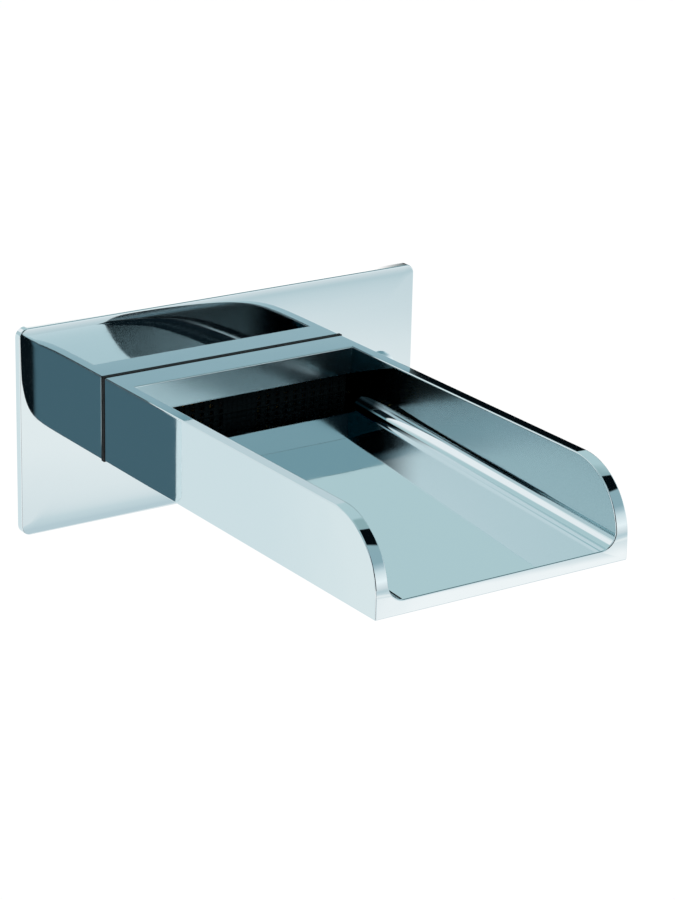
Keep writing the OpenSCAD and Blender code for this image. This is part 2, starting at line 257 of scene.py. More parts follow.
def across(outline, x_from, x_to):
    """A shape drawn in Y and Z as the two end rings of a bar along X."""
    return [[(x, y, z) for y, z in outline] for x in (x_from, x_to)]


def along(outline, *places):
    """A shape drawn in X and Z as rings at places along Y."""
    return [[(x, y, z) for x, z in outline] for y in places]


# In millimetres. Y is 0 on the wall and falls towards the room, and Z is 0 on the inlet's axis.
# REAR, BRIDGE, LIP, MESH and the ends of the core and its ledge are places along Y, and SIDE and
# INNER are half widths. TOP, BASE, SLOT_TOP and FLOOR are heights, and NOSE and FOOT are radii.
PLATE_T, JOINT_T = 3.2, 1.0
REAR = -PLATE_T - JOINT_T
BRIDGE, LIP = REAR - 13.3, REAR - 168
SIDE, TOP, BASE = 50, 15.5, -15.5
INNER, NOSE = 45.5, 24
SLOT_TOP, SLOT_FOOT, FLOOR, LIP_T = 5.3, 0.3, -2.6, 5.1
FALL = (BASE + LIP_T - FLOOR) / (BRIDGE - LIP)
FOOT, FOOT_START, FOOT_STEPS = 6, 9, 12
DRAFT = math.tan(math.radians(1.5))
MESH, CHAMBER_HALF, BOSS_R = BRIDGE + 3, 12.5, 3.6
SCREW_X, SCREW_Z = 42, 9
SEAT_X, SEAT_Z, SEAT_DEPTH = 46.7, 13.7, 3.3
CORE_BACK, CORE_FRONT, CORE_X, SKIN = BRIDGE - 3, LIP + 28, 42.5, 3
COVER_T = 2
LEDGE_BACK, LEDGE_FRONT = CORE_BACK + 3, CORE_FRONT - 3


def floor_height(y):
    return FLOOR + (BRIDGE - y) * FALL


def channel_ring(y, foot, top):
    """Section of the water's way at a place along Y: filleted at its feet, its walls drafted as
    the casting's are, with a point at the height of the slot's top."""
    foot_z = floor_height(y) + foot
    wall = [(INNER + (z - TOP) * DRAFT, z) for z in (top, SLOT_TOP, foot_z)]
    half = wall[:2] + arc((wall[2][0] - foot, foot_z), foot, 0, -90, 16)
    return [(x, y, z) for x, z in half + [(-x, z) for x, z in reversed(half)]]


def chamber_outline(inset):
    """Section of the chamber, less the bosses of the four screws."""
    half_w, half_h, boss = INNER - inset, CHAMBER_HALF - inset, BOSS_R + inset
    corner = [(SCREW_X - boss, half_h)]
    corner += arc((SCREW_X, SCREW_Z), boss, 180, 270, 8) + [(half_w, SCREW_Z - boss)]
    right = corner + [(x, -z) for x, z in reversed(corner)]
    return right + [(-x, z) for x, z in reversed(right)]


side = [(REAR, BASE), (REAR, TOP)]
side += arc((LIP + NOSE, TOP - NOSE), NOSE, 90, 180, 60) + [(LIP, BASE)]
trough = loft("trough", across(side, -SIDE, SIDE))

# The foot fillets grow from almost nothing at the bridge to their full radius. One cutter makes
# the slot and the channel, and runs out over the walls and past the lip.
growth = [1 - math.cos(math.radians(90 * i / FOOT_STEPS)) for i in range(FOOT_STEPS + 1)]
stations = [
    (BRIDGE - FOOT_START * t, SLOT_FOOT + (FOOT - SLOT_FOOT) * math.sqrt(1 - (1 - t) ** 2))
    for t in growth]
stations.append((LIP - 5, FOOT))
way_out = [channel_ring(y, SLOT_FOOT, SLOT_TOP) for y in (MESH + 0.5, BRIDGE)]
way_out += [channel_ring(y, foot, TOP + 24.5) for y, foot in stations]
cut(trough, loft("channel", way_out))
cut(trough, loft("chamber", along(chamber_outline(0), MESH, 0)))
seat = [(sx * SEAT_X, sz * SEAT_Z) for sx, sz in ((1, 1), (1, -1), (-1, -1), (-1, 1))]
cut(trough, loft("cover_seat", along(seat, REAR - SEAT_DEPTH, 0)))
core = [
    (CORE_BACK, BASE - 1), (CORE_BACK, floor_height(CORE_BACK) - SKIN),
    (CORE_FRONT, floor_height(CORE_FRONT) - SKIN), (CORE_FRONT, BASE - 1)]
cut(trough, loft("core", across(core, -CORE_X, CORE_X)))
rebate = [
    (LEDGE_BACK, BASE - 1), (LEDGE_BACK, BASE + COVER_T),
    (LEDGE_FRONT, BASE + COVER_T), (LEDGE_FRONT, BASE - 1)]
cut(trough, loft("rebate", across(rebate, -INNER, INNER)))


def trough_shows(p):
    """The edges that were polished: not those of the chamber, the slot's roof or the core."""
    inside = abs(p.x) < SIDE - 3 and p.y > BRIDGE + 0.1 and abs(p.z) < TOP - 0.1
    below = abs(p.x) < INNER + 0.1 and p.y > LIP + 1 and p.z < floor_height(p.y) - 1
    return not inside and not below


# The waves that buffing leaves on the casting: their length and height
CAST_WAVE, WAVE_HEIGHT = 16, 0.02


def chrome_with_painted_shade(name, dark_until, bright_from, haze):
    """Chrome inside the channel, with painted shade: its colour and the tint of its reflections are
    painted dark by the corners at the bridge, where shade falls, and clear between two places along
    Y."""
    material = chrome_plating(name, CAST_WAVE, WAVE_HEIGHT)
    tree = material.node_tree
    shader = tree.nodes["Principled BSDF"]
    place = add(tree, "ShaderNodeTexCoord").outputs["Object"]
    spot = add(tree, "ShaderNodeSeparateXYZ", {"Vector": place})
    clear = add(tree, "ShaderNodeMapRange", {
        "Value": spot.outputs["Y"], "From Min": dark_until * MM, "From Max": bright_from * MM,
        "To Min": 0.02, "To Max": 1.0}, interpolation_type="SMOOTHSTEP").outputs["Result"]
    # Painted shade: the base colour runs from dark teal by the bridge to the chrome's own
    tint = add(tree, "ShaderNodeMix", {
        "Factor": clear, 6: linear("#1F3036"), 7: linear(CHROME)}, data_type="RGBA")
    tree.links.new(tint.outputs[2], shader.inputs["Base Color"])
    # Painted shade: the reflections' edge tint runs from dark grey by the bridge to white
    edge = add(tree, "ShaderNodeMix", {
        "Factor": clear, 6: linear("#202020"), 7: linear("#FFFFFF")}, data_type="RGBA")
    tree.links.new(edge.outputs[2], shader.inputs["Specular Tint"])
    gloss = add(tree, "ShaderNodeMapRange", {"Value": clear, "To Min": 0.03, "To Max": haze})
    tree.links.new(gloss.outputs["Result"], shader.inputs["Roughness"])
    return material


def trough_finish(p, n):
    """1 for the faces left as milled: its back, the chamber and the core. 2 for the channel's
    walls, which a wheel can't reach well, and 3 for its foot fillets, both with painted shade by
    the bridge, and 4 for the bridge's face above the slot. 0 for the rest."""
    back = n.y > 0.9 and p.y > REAR - 4
    chamber = abs(p.x) < SIDE - 3 and p.y > MESH - 0.1 and abs(p.z) < TOP - 0.1
    under_floor = CORE_FRONT - 4 < p.y < BRIDGE and p.z < floor_height(p.y) - SKIN + 0.5
    if back or chamber or under_floor and abs(p.x) < INNER:
        return 1
    if n.y < -0.99 and abs(p.y - BRIDGE) < 0.1 and abs(p.x) < INNER and p.z > 0:
        return 4
    in_channel = abs(p.x) < INNER + 0.05 and p.y < BRIDGE and p.z > floor_height(p.y) - 0.1
    if in_channel and abs(n.x) > 0.99:
        return 2
    return 3 if in_channel and abs(n.x) > 0.05 and n.z > 0 else 0


ease(trough, 0.5, trough_shows)
chrome = chrome_plating("Chrome plating on cast brass", CAST_WAVE, WAVE_HEIGHT)
dull_chrome = dull_plating("Unpolished plating on milled brass")
finish_piece(
    trough, "chrome", ["spout_body"], chrome, dull_chrome,
    # The walls and fillets get painted shade: their chrome is painted dark by the bridge
    chrome_with_painted_shade("Chrome plating on the walls, with painted shade", dark_until=-34, bright_from=-66, haze=0.16),
    chrome_with_painted_shade("Chrome plating on the fillets, with painted shade", dark_until=-34, bright_from=-43, haze=0.04),
    chrome_plating("Chrome plating on the bridge's face", CAST_WAVE, WAVE_HEIGHT, (0.17, 0.2)),
    pick=trough_finish)


# Underside cover
# A brass plate let into the trough's underside, plated with it and held by adhesive. It closes
# the space that the casting's core left.
cover_gap = 0.05  # on each side, for the adhesive
cover_front, cover_back = LEDGE_FRONT + cover_gap, LEDGE_BACK - cover_gap
under = [(sx * (INNER - cover_gap), y) for sx, y in (
    (1, cover_front), (1, cover_back), (-1, cover_back), (-1, cover_front))]
underside = loft("underside_cover_plate", [
    [(x, y, z) for x, y in under] for z in (BASE, BASE + COVER_T)])
ease(underside, 0.3)
finish_piece(underside, "chrome", ["underside_cover"], chrome)


# Wall plate
# Brass plate, polished and chrome plated. The wheel has carried its face off a little towards the
# rim. The trough is screwed on from behind, and a foam seal lies in a groove in its back.
def oblong(width, height, radius, y, steps=8):
    """A rounded rectangle across Y."""
    points = []
    for turn, (sx, sz) in enumerate(((1, 1), (-1, 1), (-1, -1), (1, -1))):
        centre = (sx * (width / 2 - radius), sz * (height / 2 - radius))
        points += arc(centre, radius, 90 * turn, 90 * turn + 90, steps)
    return [(x, y, z) for x, z in points]


def round_ring(radius, y, x=0.0, z=0.0, count=96):
    """A circle across Y."""
    turn = 2 * math.pi / count
    return [(x + radius * math.cos(turn * i), y, z + radius * math.sin(turn * i))
            for i in range(count)]


def drill(piece, name, radius, y_from, y_to, x=0.0, z=0.0, count=96):
    """Takes a round hole along Y out of the piece."""
    cut(piece, loft(name, [round_ring(radius, y, x, z, count) for y in (y_from, y_to)]))


PLATE_W, PLATE_H, PLATE_CORNER = 165, 75.6, 3.5
PLATE_BORE, SCREW_HOLE, PLUG_HOLE, CAP_X = 14, 2.2, 3.2, 67.8
# How far the face falls away at the rim, how soon it does, and how far in from the rim it is
# drawn. The rim's edge is rounded, and meets the face a little nearer to the room.
RIM_DROP, RIM_REACH, RIM_WIDTH, RIM_RINGS = 0.29, 2.4, 13, 20
RIM_EDGE, EDGE_MEETS = 0.4, 0.04
# Width, height and corner of the groove's two walls
GROOVE_OUTER, GROOVE_INNER, GROOVE_DEPTH = (155, 65.6, 2.5), (145, 55.6, 1.25), 1.5


def rim_ring(inset):
    drop = RIM_DROP * math.exp(-inset / RIM_REACH)
    radius = max(PLATE_CORNER - inset * 0.6, 1.5)
    return oblong(PLATE_W - 2 * inset, PLATE_H - 2 * inset, radius, drop - PLATE_T)


plate_rings = [oblong(PLATE_W, PLATE_H, PLATE_CORNER, 0)]
for angle in range(0, 91, 15):
    inset = RIM_EDGE * (1 - math.cos(math.radians(angle)))
    y = RIM_DROP - PLATE_T + RIM_EDGE * (1 - math.sin(math.radians(angle)))
    plate_rings.append(oblong(
        PLATE_W - 2 * inset, PLATE_H - 2 * inset, PLATE_CORNER - inset, y - EDGE_MEETS))
plate_rings += [
    rim_ring(RIM_EDGE + RIM_WIDTH * (i / RIM_RINGS) ** 1.6) for i in range(1, RIM_RINGS + 1)]
plate = loft("plate", plate_rings)
drill(plate, "bore", PLATE_BORE, -6, 1)
drill(plate, "plug_hole", PLUG_HOLE, -6, 1, CAP_X, count=48)
SCREWS = [(x, z) for x in (-SCREW_X, SCREW_X) for z in (-SCREW_Z, SCREW_Z)]
for x, z in SCREWS:
    sink = [(SCREW_HOLE, -6), (SCREW_HOLE, -2.15), (4.05, 0), (4.05, 1)]
    cut(plate, loft("sink", [round_ring(r, y, x, z, 48) for r, y in sink]))
cut(plate, loft("groove", [
    oblong(*GROOVE_OUTER, 1), oblong(*GROOVE_OUTER, -GROOVE_DEPTH),
    oblong(*GROOVE_INNER, -GROOVE_DEPTH), oblong(*GROOVE_INNER, 1)], joined=True))


def plate_finish(p, n):
    """1 for the faces left as milled: the back, the holes and the groove. 0 for the rest."""
    return n.y > 0.5 or p.y > -PLATE_T + 0.5 and abs(p.x) < 80 and abs(p.z) < 35


plate_chrome = chrome_plating("Chrome plating on polished plate", 30, WAVE_HEIGHT)
finish_piece(plate, "chrome", ["wall_plate"], plate_chrome, dull_chrome, pick=plate_finish)


# Joint between trough and plate
# A moulded black rubber gasket that is squeezed between the two and bulges a little all round.
def rubber_moulding(name, colour, grain_mm):
    """Moulded EPDM rubber: nearly black, matt, with a fine grain from the mould."""
    material, tree, shader, place = new_surface(name, colour, 0.0, 0.55)
    grain = add(tree, "ShaderNodeTexNoise", {
        "Vector": place, "Scale": 1 / (grain_mm * MM), "Detail": 4})
    bump = add(tree, "ShaderNodeBump", {
        "Height": grain.outputs["Fac"], "Strength": 0.4, "Distance": 0.05 * MM})
    tree.links.new(bump.outputs["Normal"], shader.inputs["Normal"])
    bloom = add(tree, "ShaderNodeTexNoise", {"Vector": place, "Scale": 1 / (6 * MM)})
    tint = add(tree, "ShaderNodeMix", {
        "Factor": bloom.outputs["Fac"], 6: linear(colour), 7: linear("#141618")}, data_type="RGBA")
    tree.links.new(tint.outputs[2], shader.inputs["Base Color"])
    return material


# How far the edge stands proud of the trough's sides, at places along Y
bulge = [
    (0.05, REAR), (0.21, -4.12), (0.28, -3.95), (0.3, -3.7), (0.28, -3.45), (0.21, -3.28),
    (0.05, -PLATE_T)]
gasket_rings = [oblong(2 * (SIDE + proud), 2 * (TOP + proud), 0.3, y) for proud, y in bulge]
bore_angles = [math.atan2(z, x) for x, _, z in gasket_rings[0]]
gasket_rings += [
    [(PLATE_BORE * math.cos(a), y, PLATE_BORE * math.sin(a)) for a in bore_angles]
    for y in (-PLATE_T, REAR)]
joint = loft("joint_rubber", gasket_rings, joined=True)
joint_rubber = rubber_moulding("EPDM rubber of the joint", "#07090A", grain_mm=0.4)
finish_piece(joint, "rubber", ["joint_gasket"], joint_rubber)


# Screw cap
# A pressed brass cap, plated, that snaps over a nylon cup on the plate screw and hides its head.
def turned(name, profile, x=0.0, z=0.0, count=96):
    """A piece turned on a lathe about an axis along Y, from pairs of radius and place along Y.
    A profile that begins and ends off the axis makes a tube."""
    tube = profile[-1][0] > 0.3
    return loft(name, [round_ring(r, y, x, z, count) for r, y in profile], joined=tube)


CAP_R, CAP_INNER, CAP_SIDE, CAP_DOME = 6.15, 5.15, 1.8, 1.8
dome_r = (CAP_R ** 2 + CAP_DOME ** 2) / (2 * CAP_DOME)
dome_half = math.degrees(math.asin(CAP_R / dome_r))
dome = arc((0, -PLATE_T - CAP_SIDE - CAP_DOME + dome_r), dome_r, dome_half - 90, -90 + 0.5, 14)
cap_profile = [
    (0.2, -PLATE_T - 2.05), (5.0, -PLATE_T - 2.05), (CAP_INNER, -PLATE_T - 1.9),
    (CAP_INNER, -PLATE_T), (5.85, -PLATE_T), (CAP_R, -PLATE_T - 0.2)]
cap = turned("cap_dome", cap_profile + dome[1:-1] + [(0.2, dome[-1][1])], CAP_X)
cap_chrome = chrome_plating("Chrome plating on pressed cap", wave_mm=12, wave_height_mm=0.005)
finish_piece(cap, "chrome", ["screw_cap"], cap_chrome)


# Inlet tail
# Turned from brass bar, with a G 1/2 thread rolled on it: 14 threads to the inch and a crest
# 20.955 mm across. Its shoulder is clamped behind the trough.
def turned_brass(name, mark_mm=0.35, light="#D2AE66", dark="#B08C48"):
    """Bare brass from the lathe: yellow and satin, with rings from the tool's point that are
    drawn coarser than real ones, so that they show."""
    material, tree, shader, place = new_surface(name, "#C8A45C", 1.0, 0.3)
    split = add(tree, "ShaderNodeSeparateXYZ", {"Vector": place})
    flat = add(tree, "ShaderNodeVectorMath", {0: place, 1: (1, 0, 1)}, operation="MULTIPLY")
    radius = add(tree, "ShaderNodeVectorMath", {0: flat}, operation="LENGTH").outputs["Value"]
    walk = add(tree, "ShaderNodeMath", {0: radius, 1: split.outputs["Y"]}, operation="ADD")
    rings = add(tree, "ShaderNodeTexNoise", {
        "W": walk, "Scale": 1 / (mark_mm * MM), "Detail": 2}, noise_dimensions="1D")
    bump = add(tree, "ShaderNodeBump", {
        "Height": rings.outputs["Fac"], "Strength": 0.5, "Distance": 0.02 * MM})
    tree.links.new(bump.outputs["Normal"], shader.inputs["Normal"])
    stain = add(tree, "ShaderNodeTexNoise", {"Vector": place, "Scale": 1 / (5 * MM), "Detail": 3})
    tint = add(tree, "ShaderNodeMix", {
        "Factor": stain.outputs["Fac"], 6: linear(light), 7: linear(dark)}, data_type="RGBA")
    tree.links.new(tint.outputs[2], shader.inputs["Base Color"])
    return material


def new_group(name, *sockets):
    """A geometry tree with named inputs, each given as its name, kind and value."""
    tree = bpy.data.node_groups.new(name, "GeometryNodeTree")
    for label, kind, value in sockets:
        socket = tree.interface.new_socket(label, in_out="INPUT", socket_type=kind)
        if value is not None:
            socket.default_value = value
    tree.interface.new_socket("Geometry", in_out="OUTPUT", socket_type="NodeSocketGeometry")
    return tree, add(tree, "NodeGroupInput").outputs


def end_group(tree, shape, material):
    """Ends a tree as the export needs it: no instances left, and its material set."""
    real = add(tree, "GeometryNodeRealizeInstances", {"Geometry": shape})
    shown = add(tree, "GeometryNodeSetMaterial", {"Geometry": real, "Material": material})
    add(tree, "NodeGroupOutput", {"Geometry": shown})


def grow(name, tree, values, points=()):
    """The mesh that a geometry tree makes, from points where it needs them."""
    mesh = bpy.data.meshes.new(name)
    mesh.from_pydata([Vector(p) * MM for p in points], [], [])
    piece = new_object(name, mesh)
    modifier = piece.modifiers.new(name, "NODES")
    modifier.node_group = tree
    keys = {s.name: s.identifier for s in tree.interface.items_tree if s.in_out == "INPUT"}
    for label, value in values.items():
        modifier[keys[label]] = value
    apply_modifiers(piece)
    return piece


def join(piece, other):
    """Makes the other part of the piece's mesh."""
    work = bmesh.new()
    work.from_mesh(piece.data)
    work.from_mesh(other.data)
    work.to_mesh(piece.data)
    work.free()
    bpy.data.objects.remove(other)


# A ridge wound round an axis along Y, that dies away at both ends
thread, given = new_group(
    "Screw thread", ("Turns", "NodeSocketFloat", 10), ("Length", "NodeSocketFloat", 0.02),
    ("Start radius", "NodeSocketFloat", 0.01), ("End radius", "NodeSocketFloat", 0.01),
    ("Start", "NodeSocketFloat", 0), ("Depth", "NodeSocketFloat", 0.001),
    ("Half width", "NodeSocketFloat", 0.0008), ("Material", "NodeSocketMaterial", None))
helix = add(thread, "GeometryNodeCurveSpiral", {
    "Resolution": 48, "Rotations": given["Turns"], "Start Radius": given["Start radius"],
    "End Radius": given["End radius"], "Height": given["Length"]})
upright = add(thread, "GeometryNodeSetCurveNormal", {"Curve": helix}, mode="Z_UP")
# Shares of the depth that the ridge's foot is sunk, and of the foot's width that its crest has
SUNK, CREST_WIDTH = 0.12, 0.12
width = given["Half width"]
crest = add(thread, "ShaderNodeMath", {0: width, 1: CREST_WIDTH}, operation="MULTIPLY")
corners = []
for out_by, reach, sign in ((SUNK, width, 1), (-1, crest, 1), (-1, crest, -1), (SUNK, width, -1)):
    x = add(thread, "ShaderNodeMath", {0: given["Depth"], 1: out_by}, operation="MULTIPLY")
    y = add(thread, "ShaderNodeMath", {0: reach, 1: sign}, operation="MULTIPLY")
    corners.append(add(thread, "ShaderNodeCombineXYZ", {"X": x, "Y": y}))
ridge = add(thread, "GeometryNodeCurvePrimitiveQuadrilateral", {
    "Point %d" % (i + 1): corner for i, corner in enumerate(corners)}, mode="POINTS")
way_along = add(thread, "GeometryNodeSplineParameter").outputs["Factor"]
way_back = add(thread, "ShaderNodeMath", {0: 1.0, 1: way_along}, operation="SUBTRACT")
nearer = add(thread, "ShaderNodeMath", {0: way_along, 1: way_back}, operation="MINIMUM")
swell = add(thread, "ShaderNodeMapRange", {"Value": nearer, "From Max": 0.06, "To Min": 0.05})
wound = add(thread, "GeometryNodeCurveToMesh", {
    "Curve": upright, "Profile Curve": ridge, "Scale": swell, "Fill Caps": True})
start = add(thread, "ShaderNodeCombineXYZ", {"Y": given["Start"]})
turned_over = add(thread, "GeometryNodeTransform", {
    "Geometry": wound, "Translation": start, "Rotation": (-math.pi / 2, 0, 0)})
end_group(thread, turned_over, given["Material"])

THREAD_R, THREAD_PITCH, THREAD_DEPTH = 10.478, 1.814, 1.162
ROOT_R = THREAD_R - THREAD_DEPTH
TAIL_L, BORE_R, STRAINER_R, STRAINER_Y = 30, 7, 8.3, 26.5
THREAD_START, THREAD_L = 1, TAIL_L - 2
NECK_R, NECK_END, WAIST_R = 9, REAR - 5.5, THREAD_R - 0.9
SHOULDER_R, SHOULDER_END = 13, REAR + 2.5
tail_profile = [
    (BORE_R, NECK_END), (NECK_R, NECK_END), (NECK_R, REAR),
    (SHOULDER_R, REAR), (SHOULDER_R, SHOULDER_END), (WAIST_R, SHOULDER_END), (WAIST_R, 0),
    (ROOT_R, 0.5), (ROOT_R, TAIL_L),
    (STRAINER_R, TAIL_L), (STRAINER_R, STRAINER_Y), (BORE_R, STRAINER_Y)]
tail = turned("tail", tail_profile)
ease(tail, 0.2, steps=2)
tail_brass = turned_brass("Turned brass")
tail_thread = grow("tail_thread", thread, {
    "Turns": THREAD_L / THREAD_PITCH, "Length": THREAD_L * MM, "Start": THREAD_START * MM,
    "Start radius": ROOT_R * MM, "End radius": ROOT_R * MM, "Depth": THREAD_DEPTH * MM,
    "Half width": THREAD_PITCH * 0.46 * MM, "Material": tail_brass})
join(tail, tail_thread)
bore_brass = turned_brass("Brass browned by water", light="#2A2018", dark="#1A1410")
# A face of the bore looks at the axis
finish_piece(
    tail, "brass", ["inlet_tail"], tail_brass, bore_brass,
    pick=lambda p, n: p.x * n.x + p.z * n.z < -1)


# Rear cover, and the nut on the tail's neck
# The cover is a brass plate milled from sheet, let into the trough's rear. The thin hexagon nut
# clamps the tail's shoulder against it.
COVER_FRONT, GASKET_FRONT, NUT_FRONT = REAR - 2.5, REAR - 3.3, REAR - 5
NECK_HOLE, O_RING_GROOVE, NUT_FLATS = NECK_R + 0.05, 10.4, 21
cover_outline = [(x, z) for x, _, z in oblong(93.3, 27.3, 3.15, 0)]
rear_cover = loft("rear_cover_plate", along(cover_outline, COVER_FRONT, REAR))
drill(rear_cover, "neck_hole", NECK_HOLE, REAR - 3, REAR + 1)
drill(rear_cover, "o_ring_groove", O_RING_GROOVE, REAR - 1.3, REAR + 1)
for x, z in SCREWS:
    drill(rear_cover, "screw_hole", SCREW_HOLE, REAR - 3, REAR + 1, x, z, 32)
ease(rear_cover, 0.15, steps=2)
milled_brass = turned_brass("Milled brass sheet", mark_mm=0.8)
finish_piece(rear_cover, "brass", ["rear_cover"], milled_brass)

nut_corner = NUT_FLATS / 2 / math.cos(math.pi / 6)
hexagon = [(nut_corner * math.cos(math.pi / 3 * i), nut_corner * math.sin(math.pi / 3 * i))
           for i in range(6)]
nut = loft("neck_nut", along(hexagon, NUT_FRONT, COVER_FRONT))
drill(nut, "nut_bore", NECK_HOLE, REAR - 6, REAR)
ease(nut, 0.25, steps=2)
finish_piece(nut, "brass", ["tail_nut"], tail_brass)


# Seals inside
# Moulded rubber: a flat gasket under the rear cover, an O-ring round the tail's neck, and a
# bevelled ring that holds the strainer in the tail's mouth.
flat_gasket = loft("cover_gasket_sheet", along(cover_outline, GASKET_FRONT, COVER_FRONT))
cut(flat_gasket, loft("gasket_window", along(chamber_outline(1.45), REAR - 4, REAR - 2)))
for x, z in SCREWS:
    drill(flat_gasket, "screw_hole", SCREW_HOLE, REAR - 4, REAR - 2, x, z, 32)
ease(flat_gasket, 0.1, steps=2)
finish_piece(flat_gasket, "rubber", ["cover_gasket"], joint_rubber)

o_ring_y, o_ring_r = REAR - 0.65, 0.65
o_ring = turned("neck_o_ring", [
    (NECK_R + 0.7 + a, b) for a, b in arc((0, o_ring_y), o_ring_r, 0, 360 - 22.5, 15)])
finish_piece(o_ring, "rubber", ["tail_o_ring"], joint_rubber)

ring_y, ring_bore, ring_r, bevel_y = STRAINER_Y + 0.5, 6.9, 8.25, TAIL_L - 0.4
strainer_ring = turned("strainer_rubber", [
    (ring_bore, ring_y), (ring_r, ring_y), (ring_r, bevel_y),
    (8.0, TAIL_L), (7.3, TAIL_L), (ring_bore, bevel_y)])
finish_piece(strainer_ring, "rubber", ["strainer_ring"], joint_rubber)


# Foam seal
# A closed strip of soft polyethylene foam, cut from sheet and laid in the plate's groove. It
# keeps water from running behind the plate.
def cut_foam(name):
    """Closed-cell foam that was sawn from a block: charcoal, with its cells, 0.8 mm wide, open."""
    material, tree, shader, place = new_surface(name, "#3A3C3E", 0.0, 0.95)
    cells = add(tree, "ShaderNodeTexVoronoi", {"Vector": place, "Scale": 1 / (0.8 * MM)})
    tint = add(tree, "ShaderNodeMix", {
        "Factor": cells.outputs["Distance"], 6: linear("#26282A"), 7: linear("#55585A")},
        data_type="RGBA")
    tree.links.new(tint.outputs[2], shader.inputs["Base Color"])
    bump = add(tree, "ShaderNodeBump", {
        "Height": cells.outputs["Distance"], "Strength": 0.8, "Distance": 0.25 * MM})
    tree.links.new(bump.outputs["Normal"], shader.inputs["Normal"])
    return material


# It is 0.05 mm clear of the groove's walls, and its two edges at the wall are bevelled
bevel_start = -0.15
seal_rings = [oblong(154.9, 65.5, 2.45, y) for y in (bevel_start, -GROOVE_DEPTH)]
seal_rings += [oblong(145.1, 55.7, 1.3, y) for y in (-GROOVE_DEPTH, bevel_start)]
seal_rings += [oblong(145.7, 56.3, 1.6, 0), oblong(154.3, 64.9, 2.15, 0)]
foam_seal = loft("foam_strip", seal_rings, joined=True)
finish_piece(foam_seal, "foam", ["plate_seal"], cut_foam("Polyethylene foam"))


# Screens in the chamber
# A black acetal frame holds a perforated acetal plate and a woven nylon mesh. They spread the
# water evenly and take its swirl away before the slot.
def black_acetal(name):
    """Moulded black acetal: deep black and almost matt, with the mould's fine grain, drawn
    0.3 mm wide. Its faint teal tint is painted reflection of the room."""
    # Painted reflection: the faint teal in this black
    material, tree, shader, place = new_surface(name, "#0C1416", 0.0, 0.6)
    shader.inputs["Specular IOR Level"].default_value = 0.05
    grain = add(tree, "ShaderNodeTexNoise", {
        "Vector": place, "Scale": 1 / (0.3 * MM), "Detail": 2})
    bump = add(tree, "ShaderNodeBump", {
        "Height": grain.outputs["Fac"], "Strength": 0.3, "Distance": 0.02 * MM})
    tree.links.new(bump.outputs["Normal"], shader.inputs["Normal"])
    return material


# Wires that pass over and under each other, in a cross-shaped or round field across Y
weave, given = new_group(
    "Woven wires", ("Width", "NodeSocketFloat", 0.09), ("Height", "NodeSocketFloat", 0.02),
    ("Pitch", "NodeSocketFloat", 0.002), ("Wire", "NodeSocketFloat", 0.0003),
    ("Corner X", "NodeSocketFloat", 1), ("Corner Z", "NodeSocketFloat", 1),
    ("Disc radius", "NodeSocketFloat", 1), ("Place", "NodeSocketFloat", 0),
    ("Material", "NodeSocketMaterial", None))


